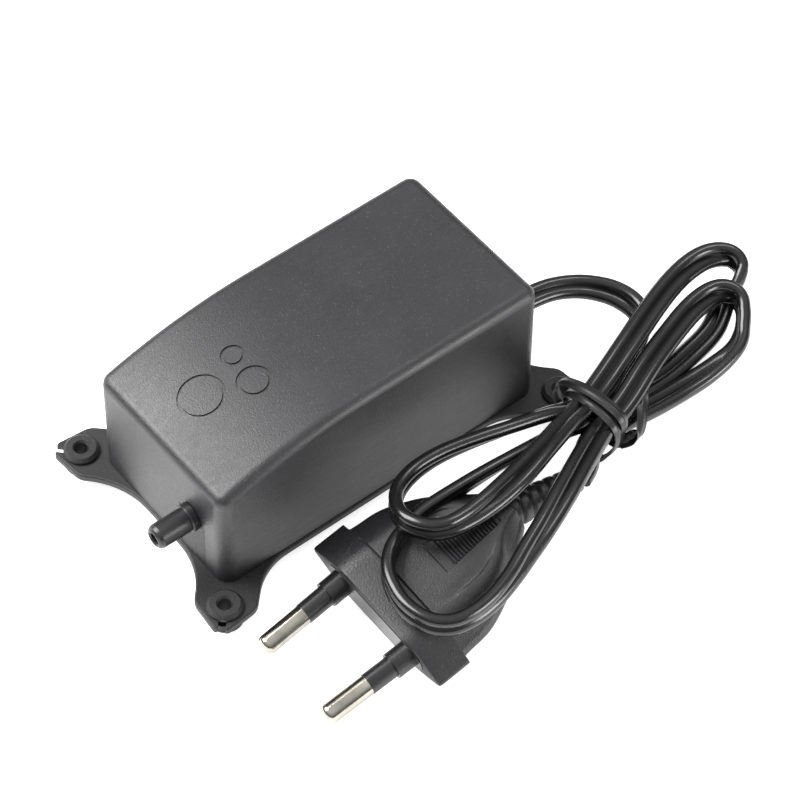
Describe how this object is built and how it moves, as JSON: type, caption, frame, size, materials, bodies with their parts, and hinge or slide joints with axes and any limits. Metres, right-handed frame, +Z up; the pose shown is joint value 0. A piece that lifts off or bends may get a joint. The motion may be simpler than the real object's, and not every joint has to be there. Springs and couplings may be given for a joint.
{
  "type": "aquarium air pump",
  "caption": "Small vibrating-arm aquarium air pump with an eared base on rubber feet, an outlet nozzle and a tied flat mains cord with a two-pin plug.",
  "frame": {"origin": "centre of the four foot holes, on the surface that the feet stand on", "axes": "+Z up; the outlet nozzle points along -Y, the cord leaves at +Y, X is across"},
  "size_m": [0.0877, 0.1372, 0.0338],
  "materials": {
    "cover_plastic": "fine-textured moulded ABS",
    "base_plastic": "moulded ABS",
    "foot_rubber": "moulded",
    "screw_steel": "zinc plated",
    "nozzle_plastic": "moulded",
    "valve_rubber": "moulded",
    "head_plastic": "natural nylon",
    "filter_felt": "needled felt",
    "arm_plastic": "natural nylon",
    "magnet_ferrite": "sintered",
    "core_steel": "stacked laminations",
    "bobbin_plastic": "moulded",
    "winding_copper": "enamelled wire",
    "tape_film": "polyester film",
    "lead_insulation": "extruded PVC",
    "cord_pvc": "extruded PVC",
    "tie_plastic": "plastic-coated wire",
    "gland_pvc": "moulded PVC",
    "plug_pvc": "fine-textured moulded PVC",
    "plug_bridge_plastic": "moulded",
    "pin_nickel": "nickel plated brass",
    "sleeve_plastic": "moulded"
  },
  "bodies": {
    "housing": {"arm_pin": "screw_steel", "base_plate": "base_plastic", "coil_bobbin": "bobbin_plastic", "coil_tape": "tape_film", "coil_winding": "winding_copper", "cord_clamp": "base_plastic", "cord_clamp_screw": "screw_steel", "cord_gland": "gland_pvc", "cord_hank": "cord_pvc", "cord_tail": "cord_pvc", "cord_tie": "tie_plastic", "core_laminations": "core_steel", "core_screws": "screw_steel", "cover_screws": "screw_steel", "diaphragm": "valve_rubber", "diaphragm_clamp": "head_plastic", "foot_front_left": "foot_rubber", "foot_front_right": "foot_rubber", "foot_rear_left": "foot_rubber", "foot_rear_right": "foot_rubber", "head_body": "head_plastic", "head_cap": "head_plastic", "head_gasket": "valve_rubber", "head_screws": "screw_steel", "intake_filter": "filter_felt", "lead_wire_left": "lead_insulation", "lead_wire_right": "lead_insulation", "outlet_hose": "valve_rubber", "outlet_nozzle": "nozzle_plastic", "plug_body": "plug_pvc", "plug_bridge": "plug_bridge_plastic", "plug_pin_left": "pin_nickel", "plug_pin_right": "pin_nickel", "plug_sleeve_left": "sleeve_plastic", "plug_sleeve_right": "sleeve_plastic", "power_cord": "cord_pvc", "top_cover": "cover_plastic"},
    "arm": {"swing_arm": "arm_plastic", "arm_bush": "valve_rubber", "arm_magnet": "magnet_ferrite", "diaphragm_screw": "screw_steel", "diaphragm_washer": "screw_steel"},
    "outlet_valve": {"outlet_flap": "valve_rubber"},
    "intake_valve": {"intake_flap": "valve_rubber"}
  },
  "joints": [
    {"name": "arm_swing", "type": "hinge", "parent": "housing", "child": "arm", "pos_m": [0, -0.0308, 0.016], "axis": [0, 0, 1], "range_deg": [-1.5, 1.5], "stiffness_Nm_per_rad": 0.35, "deforming": ["diaphragm"]},
    {"name": "outlet_flap_lift", "type": "hinge", "parent": "housing", "child": "outlet_valve", "pos_m": [0.0075, -0.0252, 0.016], "axis": [0, 0, -1], "range_deg": [0, 14], "stiffness_Nm_per_rad": 0.00002},
    {"name": "intake_flap_lift", "type": "hinge", "parent": "housing", "child": "intake_valve", "pos_m": [0.0065, -0.0174, 0.016], "axis": [0, 0, 1], "range_deg": [0, 14], "stiffness_Nm_per_rad": 0.00002}
  ]
}
